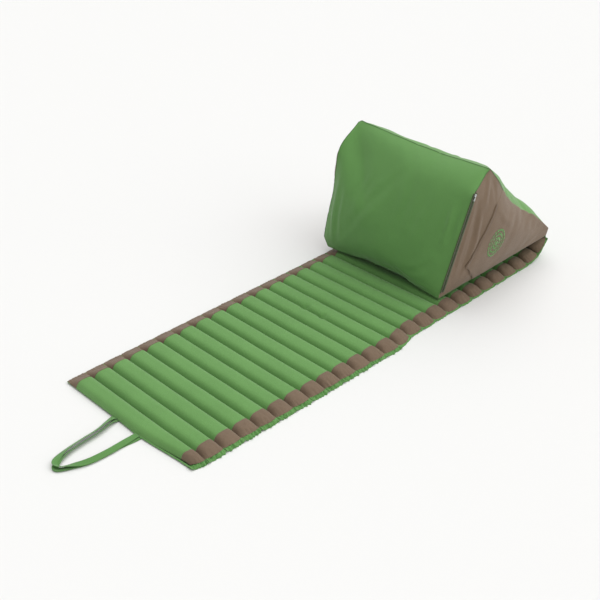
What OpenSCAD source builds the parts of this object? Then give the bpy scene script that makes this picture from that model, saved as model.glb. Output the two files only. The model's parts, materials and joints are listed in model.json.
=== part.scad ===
// Roll-up channelled lounge mat with an inflatable wedge backrest and webbing carry handles.
// X runs across the mat, Y from its foot to its head and Z up.
// The origin is the middle of the mat's underside, on the floor.

/* [Mat] */
// Width of the mat over the closed ends of its channels
mat_w = 600; // [500:10:660]
// Distance from one sewn seam to the next
pitch = 69; // [66:1:72]
// Height of a channel's crown above the floor
crown_h = 28; // [26:1:30]
// Height of a sewn seam above the floor
seam_h = 6; // [5:0.5:7]
// Thickness of the cover fabric
fabric_t = 1.2; // [0.8:0.1:1.4]
// Length of the contrasting sleeve on each end of a channel
sleeve_len = 50; // [40:5:70]
// How far the ground fabric stands out past the channels
hem = 10; // [6:1:12]
// How steeply the last channel but one turns up behind the backrest, in degrees
turn_up_first = 14; // [10:1:18]
// How steeply the last channel turns up, in degrees
turn_up_last = 52; // [46:1:54]

/* [Backrest] */
// Width of the backrest
rest_w = 612; // [600:2:620]
// Front edge of the backrest, from the middle of the mat
rest_front = 287; // [270:1:300]
// Depth of the backrest along the mat
rest_depth = 583; // [570:1:590]
// Height of the backrest's ridge above the floor
rest_h = 497; // [480:1:510]
// Inward lean of the side panels, in degrees
side_lean = 8; // [6:0.5:9]
// Turn of the side panels about the vertical, in degrees
side_turn = -4.3; // [-5:0.1:-3.5]
// Gap between the bladder and the front, back and bottom panels
bladder_gap = 8; // [6:1:12]
// Gap between the bladder and the side panels
bladder_side_gap = 12; // [10:1:14]

/* [Zip] */
// Length of the zip
zip_len = 380; // [300:10:385]
// Rake of the zip within its side panel, in degrees
zip_rake = -9.3; // [-10:0.1:-8]
// Width of one zip tape
tape_w = 7; // [5:0.5:8]

/* [Handles] */
// Width of the handle webbing
webbing_w = 20; // [15:1:24]
// Thickness of the handle webbing
webbing_t = 1.6; // [1.2:0.1:2]

/* [Hidden] */
$fn = 72;
rolling = 12;     // channels that fold, counted from the foot
flat_channels = 12;     // channels that lie flat in the head section
clearance = 0.4;     // between a filling and the cover around it
seam_gap = 1.3;     // from a seam's axis to the edge of a channel
bead_r = 1;     // radius of the sewn bead on a seam
toe = 12;     // from a seam to where the underside meets the floor
foot = -13 * pitch;
seam_y = foot + rolling * pitch;     // seam between the folding channels and the head section
turn_y = seam_y + flat_channels * pitch;     // seam where the last two channels turn up
turn_ups = [turn_up_first, turn_up_last];
crown_r = (pow(pitch / 2, 2) + pow(crown_h - seam_h, 2)) / (2 * (crown_h - seam_h));
cut = 2000;     // longer than anything that it cuts

// Corners of the backrest's side, as [y, z]
front_low = [rest_front, 34];
rear_low = [rest_front + rest_depth - 4, 88];
rear_high = [rest_front + rest_depth, 118];
ridge = [rest_front + 161, rest_h];
shoulder = [rest_front + 57, rest_h - 69];
zip_top = [306, rest_front + 71, rest_h - 61];     // middle of the zip's upper end

// The valve's place on the right side of the bladder
valve_at = [242, rest_front + 216, 160];
recess_r = 32;

// Middle of a handle's webbing, from the foot edge of the mat
handle_route = [
    [-48, 0], [-48, -4], [-44, -22], [-38, -45], [-32, -76], [-29, -108], [-26, -142], [-23, -173],
    [-14, -208], [-2, -233], [8, -246], [19, -249], [30, -243], [42, -225], [52, -207], [62, -190],
    [69, -166], [72, -132], [73, -100], [72, -66], [70, -32], [67, -4], [67, 0]
];

function two(k) = str(k < 10 ? "0" : "", k);

// The seam before the first turned-up channel, the one after it and so on, as [y, z]
function turned_seam(i) = i == 0
    ? [turn_y, seam_h]
    : turned_seam(i - 1) + pitch * [cos(turn_ups[i - 1]), sin(turn_ups[i - 1])];

function named(what, k) = str(what, "_", two(k));
function unit(v) = v / norm(v);
function left_of(v) = [-v.y, v.x];

// The corner b of an outline, rounded over r on both sides, between the corners a and c
function rounded(a, b, c, r) =
    let (p = b + r * unit(a - b), q = b + r * unit(c - b))
    [for (s = [0:0.25:1]) (1 - s) * (1 - s) * p + 2 * s * (1 - s) * b + s * s * q];

// An outline, counter-clockwise, moved inwards by d
function inset(points, d) = let (n = len(points)) [
    for (i = [0:n - 1])
        let (
            before = left_of(unit(points[i] - points[(i + n - 1) % n])),
            after = left_of(unit(points[(i + 1) % n] - points[i]))
        )
        points[i] + d * (before + after) / (1 + before * after)
];

// The backrest's side, moved inwards by d, with its corners rounded
function rest_outline(d) = let (c = inset([front_low, rear_low, rear_high, ridge, shoulder], d)) concat(
    rounded(c[4], c[0], c[1], 20),
    rounded(c[0], c[1], c[2], 6),
    rounded(c[1], c[2], c[3], 8),
    rounded(c[2], c[3], c[4], 16),
    rounded(c[3], c[4], c[0], 40)
);
rest_points = len(rest_outline(0));
// Where one panel's fabric meets the next on the outline
front_seam = 2;
heel_seam = 7;
ridge_seam = 17;

// The band between the outline and the same outline moved inwards by t, from one seam to another
function band(from, to, t) = concat(
    [for (i = [from:to]) rest_outline(0)[i % rest_points]],
    [for (i = [to:-1:from]) rest_outline(t)[i % rest_points]]
);

// A strip of width w along a route, as an outline
function strip(route, w) = let (
    n = len(route),
    side = [for (i = [0:n - 1])
        left_of(unit(route[min(i + 1, n - 1)] - route[max(i - 1, 0)])) * w / 2]
) concat(
    [for (i = [0:n - 1]) route[i] + side[i]],
    [for (i = [n - 1:-1:0]) route[i] - side[i]]
);

// ---- Sections, drawn in a plane and run along X ----

module along_x(length) {
    rotate([90, 0, 90]) translate([0, 0, -length / 2]) linear_extrude(length) children();
}

module on_right(from, to) {
    rotate([90, 0, 90]) translate([0, 0, from]) linear_extrude(to - from) children();
}

module both_sides() {
    children();
    mirror([1, 0, 0]) children();
}

// One channel, from its seam at 0 to its seam at the pitch, shrunk by d all round
module channel_section(d = 0) {
    edge = seam_gap + 2.2 * d;
    floor_edge = toe + 0.5 * d;
    intersection() {
        translate([pitch / 2, crown_h - crown_r]) circle(crown_r - d);
        polygon([
            [edge, seam_h], [floor_edge, d], [pitch - floor_edge, d], [pitch - edge, seam_h],
            [pitch - edge, crown_h + 1], [edge, crown_h + 1]
        ]);
    }
}

module skin_section() {
    difference() {
        channel_section();
        channel_section(fabric_t);
    }
}

module above(z) {
    translate([-pitch, z]) square([3 * pitch, 2 * crown_h]);
}

module below(z) {
    translate([-pitch, z - 2 * crown_h]) square([3 * pitch, 2 * crown_h]);
}

// The web that joins a seam's bead to the channel before it
module web_section() {
    translate([-2 * seam_gap, seam_h - 0.1]) square([2 * seam_gap, 1]);
}

// The sewn bead on a seam, with that web
module bead_section() {
    translate([0, seam_h]) circle(bead_r);
    web_section();
}

// ---- Folding channels ----

// A channel's top stops at its sleeves, and its underside runs out to the hems
module channel_cover() {
    along_x(mat_w - 2 * sleeve_len) skin_section();
    along_x(mat_w + 2 * hem) intersection() {
        skin_section();
        below(seam_h);
    }
}

module cover(k) {
    color("#6fa05f") translate([0, foot + (k - 1) * pitch, 0]) {
        channel_cover();
        along_x(mat_w - 2 * sleeve_len) translate([pitch, 0]) bead_section();
        if (k == 1)
            translate([-mat_w / 2 - hem, -hem, 0]) cube([mat_w + 2 * hem, hem + toe + 4, fabric_t]);
    }
}

// The sleeve on a channel's right end, with its gathered end closed
module end_sleeve() {
    on_right(mat_w / 2 - sleeve_len, mat_w / 2) intersection() {
        skin_section();
        above(seam_h);
    }
    on_right(mat_w / 2 - fabric_t, mat_w / 2) {
        channel_section(fabric_t);
        intersection() {
            channel_section();
            above(seam_h);
        }
    }
}

module end_sleeves(k) {
    color("#86756a") translate([0, foot + (k - 1) * pitch, 0]) both_sides() end_sleeve();
}

module filling(k) {
    color("#f2efe6") translate([0, foot + (k - 1) * pitch, 0])
        along_x(mat_w - 2 * (fabric_t + clearance)) channel_section(fabric_t + clearance);
}

// ---- Head section ----

// Places what is drawn as a channel at 0 as each of the flat channels
module at_flat_channels() {
    for (i = [0:flat_channels - 1]) translate([0, seam_y + i * pitch, 0]) children();
}

// Places what is drawn as a channel at 0 as each of the last two channels
module turned_up() {
    for (i = [0:len(turn_ups) - 1])
        translate([0, turned_seam(i).x, turned_seam(i).y]) rotate([turn_ups[i], 0, 0])
            translate([0, 0, -seam_h]) children();
}

// The seams on both sides of the flat channels, but not the one at the fold
module head_seams() {
    for (i = [1:flat_channels]) translate([seam_y + i * pitch, 0]) {
        bead_section();
        if (i < flat_channels) mirror([1, 0]) web_section();
    }
}

// The seams at both sides of a turned-up channel
module turned_seams() {
    mirror([1, 0]) web_section();
    translate([pitch, 0]) bead_section();
}

module head_cover() {
    length = mat_w - 2 * sleeve_len;
    color("#6fa05f") union() {
        difference() {
            at_flat_channels() channel_cover();
            translate([-mat_w, seam_y, -fabric_t])
                cube([2 * mat_w, flat_channels * pitch, 2 * fabric_t]);
        }
        along_x(length) head_seams();
        turned_up() {
            channel_cover();
            along_x(length) turned_seams();
        }
    }
}

// The sleeves of the head section are joined over its seams
module head_end_sleeves() {
    color("#86756a") both_sides() {
        at_flat_channels() end_sleeve();
        turned_up() end_sleeve();
        on_right(mat_w / 2 - sleeve_len, mat_w / 2) intersection() {
            head_seams();
            translate([seam_y, seam_h]) square([flat_channels * pitch, crown_h]);
        }
        turned_up() on_right(mat_w / 2 - sleeve_len, mat_w / 2) intersection() {
            turned_seams();
            above(seam_h);
        }
    }
}

module head_fillings() {
    length = mat_w - 2 * (fabric_t + clearance);
    color("#f2efe6") {
        at_flat_channels() along_x(length) channel_section(fabric_t + clearance);
        turned_up() along_x(length) channel_section(fabric_t + clearance);
    }
}

module ground_sheet() {
    sheet_edge = toe - 2;
    color("#5c8d4e") translate([-mat_w / 2 - hem, seam_y + sheet_edge, 0])
        cube([mat_w + 2 * hem, flat_channels * pitch - 2 * sheet_edge, fabric_t]);
}

// Two short bars of stitching that pucker the seam in front of the head section
module seam_tacks() {
    color("#3f6b36") for (x = [-64, 22])
        translate([x - 7, seam_y + 4.5, seam_h + 9]) rotate([0, 90, 0]) cylinder(14, r = 1);
}

// ---- Backrest cover ----

// The strip of fabric that joins the backrest's heel to the mat's last seam, where it hinges
module rear_joining_strip() {
    hinge = turned_seam(len(turn_ups));
    low = rest_outline(0)[heel_seam + 2];
    high = rest_outline(0)[heel_seam + 3];
    out = -fabric_t * left_of(unit(high - low));
    color("#5c8d4e") along_x(mat_w - 2 * sleeve_len) polygon([
        low, hinge + [-fabric_t / 2, 1.4], hinge + [fabric_t / 2, 1.4], low + out, high + out, high
    ]);
}

// What lies outside the right side panel's plane, moved inwards by d
module outside_right(d) {
    translate(zip_top) rotate([0, side_lean, side_turn]) translate([-d, -cut / 2, -cut / 2]) cube(cut);
}

// The space between the two side panels, moved inwards by d
module between_sides(d) {
    difference() {
        translate([d - rest_w / 2, 0, 0]) cube([rest_w - 2 * d, rest_front + rest_depth + 100, rest_h + 100]);
        both_sides() outside_right(d);
    }
}

// The backrest's whole form, moved inwards by d at the front, back and bottom and by side_d at the sides
module rest_form(d, side_d) {
    intersection() {
        along_x(cut) polygon(rest_outline(d));
        between_sides(side_d);
    }
}

module wrap_panel(from, to) {
    intersection() {
        along_x(cut) polygon(band(from, to, fabric_t));
        between_sides(fabric_t);
    }
}

module side_panel() {
    difference() {
        rest_form(0, 0);
        between_sides(fabric_t);
        translate([-cut, 0, 0]) cube([cut, cut, cut]);
    }
}

module front_panel() {
    color("#56864a") wrap_panel(ridge_seam, rest_points + front_seam);
}

module back_panel() {
    color("#7fb06b") wrap_panel(heel_seam, ridge_seam);
}

module bottom_panel() {
    color("#5c8d4e") wrap_panel(front_seam, heel_seam);
}

module side_panel_left() {
    color("#86756a") mirror([1, 0, 0]) side_panel();
}

module side_panel_right() {
    color("#86756a") side_panel();
}

// The pocket lies flat on the right side panel and opens along its slanted front edge
module pocket_panel() {
    color("#7d6c60") intersection() {
        difference() {
            rest_form(2, -fabric_t);
            rest_form(-1, 0);
        }
        on_right(100, cut) polygon([
            [rest_front + 113, 130], [rest_front + 185, 40], rear_low, rear_high,
            [rest_front + 250, rest_h - 70], [rest_front + 208, rest_h - 140]
        ]);
    }
}

// Places a drawing on the pocket's face: x out of it, y to the rear and z up
module on_pocket() {
    translate(zip_top) rotate([0, side_lean, side_turn]) translate([fabric_t, 190, -257]) children();
}

// A plain rosette of embroidered dots
module emblem() {
    color("#8fbf78") on_pocket() rotate([0, 90, 0]) {
        cylinder(0.6, r = 6);
        for (ring = [1:3], i = [0:6 * ring - 1])
            rotate(i * 60 / ring + 15 * ring) translate([15 * ring, 0, 0]) cylinder(0.6, r = 6.5 - ring);
    }
}

// ---- Zip, drawn with x out of the panel, y across the zip and z up along it ----

module on_zip() {
    translate(zip_top) rotate([0, side_lean, side_turn]) rotate([zip_rake, 0, 0]) children();
}

coil_r = 0.9;
tape_t = 0.6;

module zip_tapes() {
    color("#3c3b2a") on_zip() for (side = [0, 1]) mirror([0, side, 0])
        translate([0, 2 * coil_r + 0.1, -zip_len]) cube([tape_t, tape_w, zip_len + 12]);
}

module zip_coil() {
    color("#2c2b20") on_zip() for (side = [0, 1]) mirror([0, side, 0])
        translate([coil_r, coil_r, 4 - zip_len]) cylinder(zip_len - 4, r = coil_r);
}

module zip_stops() {
    color("#2c2b20") on_zip() for (z = [1 - zip_len, 9.5])
        translate([0, -1.8, z]) cube([2, 3.6, 2]);
}

slider_half_w = 4.2;
slider_len = 9;
slider_top = 4;
pull_at = [slider_top + 1.4, 0, 0];     // the pull's hinge
pull_r = 0.8;

// The slider's upper plate, the flanges that run beside the coil and the bridge that holds the pull
module zip_slider() {
    color("#c8ccd0") on_zip() {
        difference() {
            translate([tape_t + 0.3, -slider_half_w, -slider_len / 2])
                cube([slider_top - tape_t - 0.3, 2 * slider_half_w, slider_len]);
            translate([0, -2.3, -cut / 2]) cube([2.4, 4.6, cut]);
        }
        for (side = [0, 1]) mirror([0, side, 0]) difference() {
            translate([slider_top - 0.2, 1.6, -2]) cube([3, 1.4, 4]);
            translate(pull_at + [0, -5, 0]) rotate([-90, 0, 0]) cylinder(10, r = pull_r + 0.05);
        }
    }
}

// A flat tab that hangs from its pin, with a round hole near its end
module zip_pull() {
    tab_len = 20;
    color("#d8dbde") on_zip() translate(pull_at) {
        translate([0, -3.4, 0]) rotate([-90, 0, 0]) cylinder(6.8, r = pull_r);
        difference() {
            union() {
                translate([-0.6, -1.3, -15]) cube([1.2, 2.6, 15]);
                translate([-0.6, 0, 3 - tab_len]) rotate([0, 90, 0]) cylinder(1.2, r = 3.6);
            }
            translate([-1, 0, 3 - tab_len]) rotate([0, 90, 0]) cylinder(2, r = 1.8);
        }
    }
}

// ---- Bladder and valve ----

film_t = 0.8;     // thickness of the bladder's film
valve_bore_r = 4;
cap_r = 9.5;
cap_base = 10.3;     // height of the cap's underside above the recess floor
cap_hinge = [cap_base + 1.5, 0, cap_r + 2];

// Places a drawing at the valve: x out of the bladder, z up
module at_valve() {
    translate(valve_at) children();
}

module round_x(r, from, to) {
    translate([from, 0, 0]) rotate([0, 90, 0]) cylinder(to - from, r = r);
}

module bladder() {
    color("#b9c4c8") difference() {
        union() {
            intersection() {
                along_x(cut) difference() {
                    polygon(rest_outline(bladder_gap));
                    polygon(rest_outline(bladder_gap + film_t));
                }
                between_sides(bladder_side_gap);
            }
            difference() {
                rest_form(bladder_gap, bladder_side_gap);
                between_sides(bladder_side_gap + film_t);
            }
            intersection() {
                rest_form(bladder_gap, bladder_side_gap);
                at_valve() round_x(recess_r + film_t, -film_t, cut);
            }
        }
        at_valve() round_x(recess_r, 0, cut);
        at_valve() round_x(valve_bore_r, -5, 5);
    }
}

// Three webs across the inside of the bladder, with vents, hold its faces flat
module bladder_baffles() {
    color("#a7b2b6") for (x = [-140, 0, 140]) translate([x, 0, 0]) along_x(film_t) difference() {
        polygon(rest_outline(bladder_gap + film_t));
        for (y = [130, 300]) translate([rest_front + y, 150]) circle(50);
    }
}

module valve_body() {
    color("#d9d9d4") at_valve() difference() {
        union() {
            round_x(16, 0, 1.5);
            round_x(8, 0, cap_base - 0.3);
            for (side = [0, 1]) mirror([0, side, 0]) translate([0, 3.5, 0]) {
                translate([1, 0, cap_hinge.z - 5]) cube([cap_base - 2, 2, 6]);
                translate([cap_hinge.x, 0, cap_hinge.z]) rotate([-90, 0, 0]) cylinder(2, r = 1.4);
                translate([7, 0, cap_hinge.z - 1.4]) cube([cap_hinge.x - 7, 2, 2.8]);
            }
        }
        round_x(valve_bore_r, -1, 20);
    }
}

module valve_cap() {
    color("#e6e6e1") at_valve() {
        round_x(cap_r, cap_base, cap_base + 3);
        translate([cap_base, -3, cap_r - 3]) cube([3, 6, 5]);
        translate([cap_hinge.x, -3, cap_hinge.z]) rotate([-90, 0, 0]) cylinder(6, r = 1.4);
    }
}

// ---- Carry handles ----

// Each handle is a flat loop of webbing whose sewn ends are rolled along the foot edge
module carry_handle(shift, z) {
    translate([shift, foot, z]) {
        linear_extrude(webbing_t) polygon(strip(handle_route, webbing_w));
        for (end = [handle_route[0], handle_route[len(handle_route) - 1]])
            translate([end.x - webbing_w / 2, end.y, webbing_t / 2])
                rotate([0, 90, 0]) cylinder(webbing_w, r = webbing_t / 2);
    }
}

module carry_handle_upper() {
    color("#6fa05f") carry_handle(0, 5);
}

module carry_handle_lower() {
    color("#4c7a40") carry_handle(14, 1.8);
}

// ---- The parts ----

for (k = [1:rolling]) {
    cover(k);
    end_sleeves(k);
    filling(k);
}
head_cover();
head_end_sleeves();
head_fillings();
ground_sheet();
seam_tacks();
rear_joining_strip();
front_panel();
back_panel();
bottom_panel();
side_panel_left();
side_panel_right();
pocket_panel();
emblem();
zip_tapes();
zip_coil();
zip_stops();
zip_slider();
zip_pull();
bladder();
bladder_baffles();
valve_body();
valve_cap();
carry_handle_upper();
carry_handle_lower();
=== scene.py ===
"""The looks of a roll-up lounge mat with a wedge backrest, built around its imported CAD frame.

X runs across the mat, Y from its foot to its head and Z up. Lengths are in metres.
"""

import json
import math

import bpy
import numpy as np
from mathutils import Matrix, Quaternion, Vector
from mathutils.bvhtree import BVHTree
from mathutils.geometry import delaunay_2d_cdt

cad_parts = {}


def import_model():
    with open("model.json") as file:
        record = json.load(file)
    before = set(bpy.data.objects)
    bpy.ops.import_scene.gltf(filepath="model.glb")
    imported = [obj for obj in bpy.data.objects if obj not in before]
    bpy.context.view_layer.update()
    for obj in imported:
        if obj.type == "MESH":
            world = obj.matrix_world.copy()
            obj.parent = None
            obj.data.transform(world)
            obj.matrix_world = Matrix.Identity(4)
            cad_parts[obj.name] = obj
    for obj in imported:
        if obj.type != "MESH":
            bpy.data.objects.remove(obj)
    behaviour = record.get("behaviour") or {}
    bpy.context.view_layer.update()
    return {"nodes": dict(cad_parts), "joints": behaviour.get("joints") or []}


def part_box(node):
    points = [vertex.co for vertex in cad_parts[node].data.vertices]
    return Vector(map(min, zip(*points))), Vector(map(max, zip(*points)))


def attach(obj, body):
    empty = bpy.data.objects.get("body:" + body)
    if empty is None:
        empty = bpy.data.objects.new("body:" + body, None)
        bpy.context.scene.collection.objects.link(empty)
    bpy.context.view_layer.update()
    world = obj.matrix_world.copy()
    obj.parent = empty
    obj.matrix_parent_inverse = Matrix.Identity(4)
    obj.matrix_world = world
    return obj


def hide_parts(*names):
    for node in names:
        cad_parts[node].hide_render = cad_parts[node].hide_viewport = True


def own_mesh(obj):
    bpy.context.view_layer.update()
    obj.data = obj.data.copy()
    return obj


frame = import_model()

MM = 0.001
SEED = 11

# ---- Sizes, from the frame ----

joints = {j["name"]: j for j in frame["joints"]}
ROLLING = 12
HEAD_FLAT = 12
TURN_UPS = (14, 52)
SEAM_Z = joints["fold_01"]["pos_m"][2]
PITCH = joints["fold_02"]["pos_m"][1] - joints["fold_01"]["pos_m"][1]
FOOT = joints["fold_01"]["pos_m"][1] - PITCH
HALF_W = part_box("end_sleeves_06")[1].x
CROWN_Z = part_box("end_sleeves_06")[1].z
SLEEVE = 50 * MM
HEM = 8 * MM

zip_up = -np.array(joints["zip_slide"]["axis"])
zip_across = -np.array(joints["zip_pull_swing"]["axis"])
zip_out = np.cross(zip_across, zip_up)
PULL_LIFT = 5.4 * MM
zip_top = np.array(joints["zip_pull_swing"]["pos_m"]) - PULL_LIFT * zip_out
ZIP_LEN = 380 * MM


# ---- Small tools ----


def smooth(t):
    t = np.clip(t, 0, 1)
    return t * t * (3 - 2 * t)


def ripple(a, b, wave, seed, count=6):
    """Smooth random ripples from -1 to 1 over the plane (a, b), about one wave long."""
    rng = np.random.default_rng(SEED + seed)
    total = 0
    for _ in range(count):
        turn, phase = rng.uniform(0, 2 * np.pi, 2)
        k = 2 * np.pi / (wave * rng.uniform(0.7, 1.5))
        total = total + np.sin(k * (a * np.cos(turn) + b * np.sin(turn)) + phase)
    return total / count**0.5 / 1.5


def grid_faces(rows, columns, closed=False):
    """Quads of a grid whose points are numbered row by row."""
    faces = []
    for i in range(rows - 1):
        for j in range(columns if closed else columns - 1):
            n = (j + 1) % columns
            a, b = i * columns, (i + 1) * columns
            faces.append((a + j, a + n, b + n, b + j))
    return faces


def circle(count):
    return np.linspace(0, 2 * np.pi, count, endpoint=False)


def unit(rows):
    """Each row as a direction of length 1."""
    return rows / np.maximum(np.linalg.norm(rows, axis=1), 1e-12)[:, None]


def flipped(faces):
    return [f[::-1] for f in faces]


def in_scene(name, data):
    made = bpy.data.objects.new(name, data)
    bpy.context.scene.collection.objects.link(made)
    return made


def piece(name, verts, faces, material, shade=True):
    mesh = bpy.data.meshes.new(name)
    mesh.from_pydata(np.asarray(verts, float).tolist(), [], faces)
    mesh.validate()
    mesh.materials.append(material)
    if shade:
        mesh.polygons.foreach_set("use_smooth", [True] * len(mesh.polygons))
    return in_scene(name, mesh)


def stacked(x, y, z):
    """A grid's coordinates as one row of points."""
    return np.stack([x, y, z], axis=-1).reshape(-1, 3)


def lofted(lines, form=grid_faces):
    """A sheet between lines of as many points each, or a closed tube."""
    return np.stack(lines, axis=1).reshape(-1, 3), form(len(lines[0]), len(lines))


def joined(parts):
    """Several (verts, faces) as one."""
    verts, faces, start = [], [], 0
    for v, f in parts:
        verts.append(np.asarray(v, float))
        faces += [tuple(i + start for i in face) for face in f]
        start += len(v)
    return np.vstack(verts), faces


def dressed(made, cad, slot, body="backrest"):
    """A piece put on its body, with the CAD node that it replaces, if any, hidden; its slot is not
    used.
    """
    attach(made, body)
    if cad:
        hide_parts(cad)
    return made


def fitting(name, parts, material, cad, slot, body="backrest", shade=True):
    """Several (verts, faces) as one dressed piece."""
    return dressed(piece(name, *joined(parts), material, shade), cad, slot, body)


def capped(rows, columns):
    """Quads of a tube of so many rings, and the two faces that close its ends."""
    last = (rows - 1) * columns
    faces = grid_faces(rows, columns, closed=True)
    return faces + [tuple(range(columns))[::-1], tuple(range(last, last + columns))]


def tube(points, radius, sides):
    """A round tube along a line of points, closed at its ends."""
    t = unit(np.gradient(points, axis=0))
    side = np.cross(t[0], (0, 0, 1) if abs(t[0][2]) < 0.9 else (0, 1, 0))
    turn = circle(sides)
    rings = []
    for at, way in zip(points, t):
        side = side - way * (side @ way)
        side /= np.linalg.norm(side)
        other = np.cross(way, side)
        rings.append(at + radius * (np.cos(turn)[:, None] * side + np.sin(turn)[:, None] * other))
    return np.vstack(rings), capped(len(points), sides)


def lengths_along(points):
    """How far each point of a line is from its start."""
    return np.r_[0, np.cumsum(np.linalg.norm(np.diff(points, axis=0), axis=1))]


STITCH_STEP = 4.5 * MM
STITCH_LENGTH = 3.3 * MM
STITCH_SIDES = 5
# Along a stitch, from end to end: how far from its middle, and how thick.
STITCH_SHAPE = ((-0.5, 0.25), (-0.3, 1), (0.3, 1), (0.5, 0.25))


def stitches(points, r=0.45 * MM):
    """Small thread stitches along a line."""
    far, step = lengths_along(points), STITCH_STEP
    middles = np.arange(step / 2, far[-1], step)
    spot, ahead, back = (
        np.column_stack([np.interp(middles + off, far, points[:, i]) for i in range(3)])
        for off in (0, step / 4, -step / 4)
    )
    way = unit(ahead - back)
    up = np.where(abs(way[:, 2:3]) < 0.9, [[0.0, 0.0, 1.0]], [[0.0, 1.0, 0.0]])
    side = unit(np.cross(way, up))
    up = np.cross(side, way)
    rings = []
    for at, thick in STITCH_SHAPE:
        for a in circle(STITCH_SIDES):
            round_it = math.cos(a) * side + math.sin(a) * up
            rings.append(spot + way * at * STITCH_LENGTH + r * thick * round_it)
    faces = capped(len(STITCH_SHAPE), STITCH_SIDES)
    return joined([(verts, faces) for verts in np.stack(rings, axis=1)])


# ---- Materials ----

PLANES = {"xy": (0, 0, 0), "xz": (math.pi / 2, 0, 0), "yz": (0, math.pi / 2, 0)}
WORN = 0.12  # how far a fabric's shade strays from its colour
THREAD_GAP_SHADE = 0.22  # painted shade in the gaps between a fabric's threads: how much darker they are


def feed(target, inputs):
    """Gives a node's sockets, by name or number, a value or another node's output."""
    for key, value in inputs.items():
        if hasattr(value, "is_output"):
            target.id_data.links.new(value, target.inputs[key])
        else:
            target.inputs[key].default_value = value


def node(tree, kind, settings, inputs):
    made = tree.nodes.new("ShaderNode" + kind)
    for key, value in settings.items():
        setattr(made, key, value)
    feed(made, inputs)
    return made


def node_tree(name, colour, roughness):
    material = bpy.data.materials.new(name)
    material.use_nodes = True
    material.diffuse_color = (*colour, 1)
    tree = material.node_tree
    shader = tree.nodes["Principled BSDF"]
    feed(shader, {"Base Color": (*colour, 1), "Roughness": roughness})
    return material, tree, shader


def noise(tree, where, scale, detail):
    inputs = {"Vector": where, "Scale": scale, "Detail": detail}
    return node(tree, "TexNoise", {}, inputs).outputs["Fac"]


def maths(tree, operation, *values):
    return node(tree, "Math", {"operation": operation}, dict(enumerate(values))).outputs[0]


def mix(tree, blend, share, low, high):
    settings = {"data_type": "RGBA", "blend_type": blend}
    return node(tree, "Mix", settings, {0: share, 6: low, 7: high}).outputs[2]


def bumpy(tree, height, strength, distance):
    inputs = {"Strength": strength, "Distance": distance, "Height": height}
    return node(tree, "Bump", {}, inputs).outputs[0]


def fabric(name, colour, plane="xy", thread=1.0 * MM, bump=0.35, sheen=0.25):
    """A plain weave, with painted shade in the gaps between its threads, slubs in its threads, slow
    random changes of tone and a soft sheen.
    """
    material, tree, shader = node_tree(name, colour, 0.82)
    where = node(tree, "TexCoord", {}, {}).outputs["Object"]
    flat = node(tree, "Mapping", {}, {"Vector": where, "Rotation": PLANES[plane]}).outputs[0]
    scale = 2 * math.pi / (20 * thread)
    waves = {"Vector": flat, "Scale": scale, "Distortion": 1.2, "Detail": 1.0, "Detail Scale": 1.5}
    warp, weft = (node(tree, "TexWave", {"bands_direction": way}, waves).outputs["Fac"] for way in "XY")
    weave = maths(tree, "MULTIPLY", warp, weft)
    slub, shade = noise(tree, where, 420.0, 3.0), noise(tree, where, 9.0, 4.0)
    shade = maths(tree, "MULTIPLY_ADD", shade, 0.7, -0.3)
    dark = [c * (1 - WORN) for c in colour]
    light = [min(c * (1 + WORN) + 0.006, 1) for c in colour]
    mixed = mix(tree, "MIX", maths(tree, "MULTIPLY_ADD", slub, 0.9, shade), (*dark, 1), (*light, 1))
    # The base colour gets painted shade where the weave dips between its threads.
    feed(shader, {
        "Base Color": mix(tree, "MULTIPLY", THREAD_GAP_SHADE, mixed, weave),
        "Normal": bumpy(tree, weave, bump, 0.35 * MM),
        "Sheen Weight": sheen, "Sheen Roughness": 0.45, "Specular IOR Level": 0.3,
    })
    return material


def plain(name, colour, roughness, metal=0.0, coat=0.0):
    """Moulded plastic or metal with a fine grain."""
    material, tree, shader = node_tree(name, colour, roughness)
    where = node(tree, "TexCoord", {}, {}).outputs["Object"]
    grain = noise(tree, where, 600.0, 3.0)
    spread = {"Value": grain, "To Min": roughness * 0.75, "To Max": roughness * 1.25}
    feed(shader, {
        "Roughness": node(tree, "MapRange", {}, spread).outputs[0],
        "Normal": bumpy(tree, grain, 0.15, 0.1 * MM),
        "Metallic": metal, "Coat Weight": coat,
    })
    return material


green_mat = fabric("mat_green", (0.143, 0.336, 0.087))
green_front = fabric("backrest_green_front", (0.140, 0.335, 0.087), "xz")
green_back = fabric("backrest_green_back", (0.147, 0.345, 0.089))
green_ground = fabric("ground_green", (0.125, 0.315, 0.080))
# The sleeves share the side panels' brown fabric; their colour is made darker as painted shade.
brown_sleeve_shaded = fabric("sleeve_brown_shaded", (0.200, 0.138, 0.090), sheen=0.14)
brown_side = fabric("side_brown", (0.218, 0.149, 0.095), "yz")
# The seam cords' dark green is partly their own colour and partly painted shade of the grooves along
# the backrest's seams.
seam_cord_shaded = fabric("seam_green_painted_shade", (0.075, 0.18, 0.05))
webbing = fabric("webbing_green", (0.120, 0.300, 0.078), thread=1.6 * MM, bump=0.7)
thread_green = fabric("thread_green", (0.045, 0.125, 0.032), thread=0.5 * MM)
thread_brown = fabric("thread_brown", (0.085, 0.058, 0.042), thread=0.5 * MM)
embroidery = fabric("embroidery_green", (0.22, 0.50, 0.16), thread=0.5 * MM, sheen=0.6)
filling_white = fabric("filling_white", (0.75, 0.73, 0.68), thread=4 * MM)
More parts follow.
